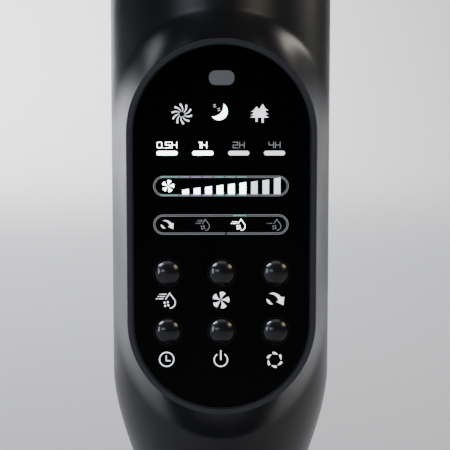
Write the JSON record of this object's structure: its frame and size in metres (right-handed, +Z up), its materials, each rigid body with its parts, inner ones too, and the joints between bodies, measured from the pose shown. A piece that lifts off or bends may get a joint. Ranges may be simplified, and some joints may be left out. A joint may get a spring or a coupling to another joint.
{
  "type": "tower fan",
  "caption": "Slim round tower fan with a capsule-shaped touch-style control panel, domed push buttons, a mist system with a pull-out tank, and a swinging column on a round base.",
  "frame": {"origin": "on the floor, under the middle of the tower", "axes": "+Z up along the tower, -Y towards the control panel's front, +X to the right of a person facing the panel"},
  "size_m": [0.29, 0.29, 0.985],
  "materials": {
    "underbody_plastic": "fine matte",
    "satin_black_plastic": "satin",
    "ballast_steel": "rough cast",
    "foot_rubber": "matte",
    "zinc_steel": "zinc plated",
    "black_steel": "black oxide",
    "pivot_aluminium": "turned",
    "acetal": "smooth",
    "inlet_plastic": "fine matte",
    "inner_plastic": "fine matte",
    "motor_steel": "zinc plated",
    "bezel_plastic": "fine matte",
    "black_glass": "mirror gloss, opaque where unlit",
    "white_plastic": "matte",
    "led_lens": "clear over phosphor",
    "board_laminate": "solder mask",
    "component_mix": "mixed",
    "button_plastic": "satin",
    "smoke_plastic": "clear smoked",
    "wheel_plastic": "glass filled",
    "sintered_bronze": "porous",
    "filter_mesh": "woven mesh"
  },
  "bodies": {
    "base": {"base_plate": "underbody_plastic", "base_cover": "satin_black_plastic", "ballast_ring": "ballast_steel", "base_feet": "foot_rubber", "base_screws": "zinc_steel", "pivot_post": "pivot_aluminium", "glide_ring": "acetal", "retainer_ring": "zinc_steel", "swing_gear": "acetal", "power_inlet": "inlet_plastic"},
    "tower": {"neck_collar": "satin_black_plastic", "swivel_bush": "acetal", "swing_bracket": "inner_plastic", "swing_motor": "motor_steel", "front_housing": "satin_black_plastic", "rear_housing": "satin_black_plastic", "housing_screws": "black_steel", "bezel": "bezel_plastic", "display_glass": "black_glass", "panel_frame": "inner_plastic", "light_box": "white_plastic", "display_leds": "led_lens", "control_board": "board_laminate", "tact_switches": "inlet_plastic", "board_screws": "zinc_steel", "mist_basin": "white_plastic", "mist_maker": "motor_steel", "mist_duct": "white_plastic", "mist_nozzle": "bezel_plastic", "spout_seal": "foot_rubber", "main_board": "board_laminate", "board_components": "component_mix", "motor_deck": "inner_plastic", "motor_dampers": "foot_rubber", "fan_motor": "motor_steel", "motor_screws": "zinc_steel", "end_plate": "inner_plastic", "scroll_wall": "inner_plastic", "vortex_tongue": "inner_plastic", "top_bracket": "inner_plastic", "top_bearing": "sintered_bronze", "outlet_grille": "satin_black_plastic", "intake_grille": "satin_black_plastic", "dust_filter": "filter_mesh", "top_cap": "satin_black_plastic", "handle_cup": "inner_plastic"},
    "pinion": {"swing_pinion": "acetal"},
    "blower_wheel": {"impeller": "wheel_plastic", "impeller_bush": "foot_rubber", "motor_shaft": "zinc_steel", "top_pin": "zinc_steel"},
    "tank": {"water_tank": "smoke_plastic"},
    "filler_cap": {"tank_cap": "inner_plastic"},
    "mist_key": {"mist_button": "button_plastic"},
    "speed_key": {"speed_button": "button_plastic"},
    "swing_key": {"swing_button": "button_plastic"},
    "timer_key": {"timer_button": "button_plastic"},
    "power_key": {"power_button": "button_plastic"},
    "mode_key": {"mode_button": "button_plastic"}
  },
  "joints": [
    {"name": "swing", "type": "hinge", "parent": "base", "child": "tower", "pos_m": [0, 0, 0.07], "axis": [0, 0, 1], "range_deg": [-40, 40]},
    {"name": "pinion_spin", "type": "hinge", "parent": "tower", "child": "pinion", "pos_m": [0, 0.02242, 0.13059], "axis": [0, 0, 1], "range_deg": [-101, 101]},
    {"name": "wheel_spin", "type": "hinge", "parent": "tower", "child": "blower_wheel", "pos_m": [0, 0, 0.7], "axis": [0, 0, 1], "continuous": true},
    {"name": "tank_pull", "type": "slide", "parent": "tower", "child": "tank", "axis": [0, 1, 0], "range_m": [0, 0.09]},
    {"name": "cap_turn", "type": "hinge", "parent": "tank", "child": "filler_cap", "pos_m": [0, 0.03, 0.403], "axis": [0, 0, 1], "range_deg": [0, 90]},
    {"name": "mist_press", "type": "slide", "parent": "tower", "child": "mist_key", "axis": [0, 1, 0], "range_m": [0, 0.0007], "stiffness_N_per_m": 400},
    {"name": "speed_press", "type": "slide", "parent": "tower", "child": "speed_key", "axis": [0, 1, 0], "range_m": [0, 0.0007], "stiffness_N_per_m": 400},
    {"name": "swing_press", "type": "slide", "parent": "tower", "child": "swing_key", "axis": [0, 1, 0], "range_m": [0, 0.0007], "stiffness_N_per_m": 400},
    {"name": "timer_press", "type": "slide", "parent": "tower", "child": "timer_key", "axis": [0, 1, 0], "range_m": [0, 0.0007], "stiffness_N_per_m": 400},
    {"name": "power_press", "type": "slide", "parent": "tower", "child": "power_key", "axis": [0, 1, 0], "range_m": [0, 0.0007], "stiffness_N_per_m": 400},
    {"name": "mode_press", "type": "slide", "parent": "tower", "child": "mode_key", "axis": [0, 1, 0], "range_m": [0, 0.0007], "stiffness_N_per_m": 400}
  ],
  "couplings": [
    {"joint": "pinion_spin", "follows": "swing", "ratio": 2.5}
  ]
}
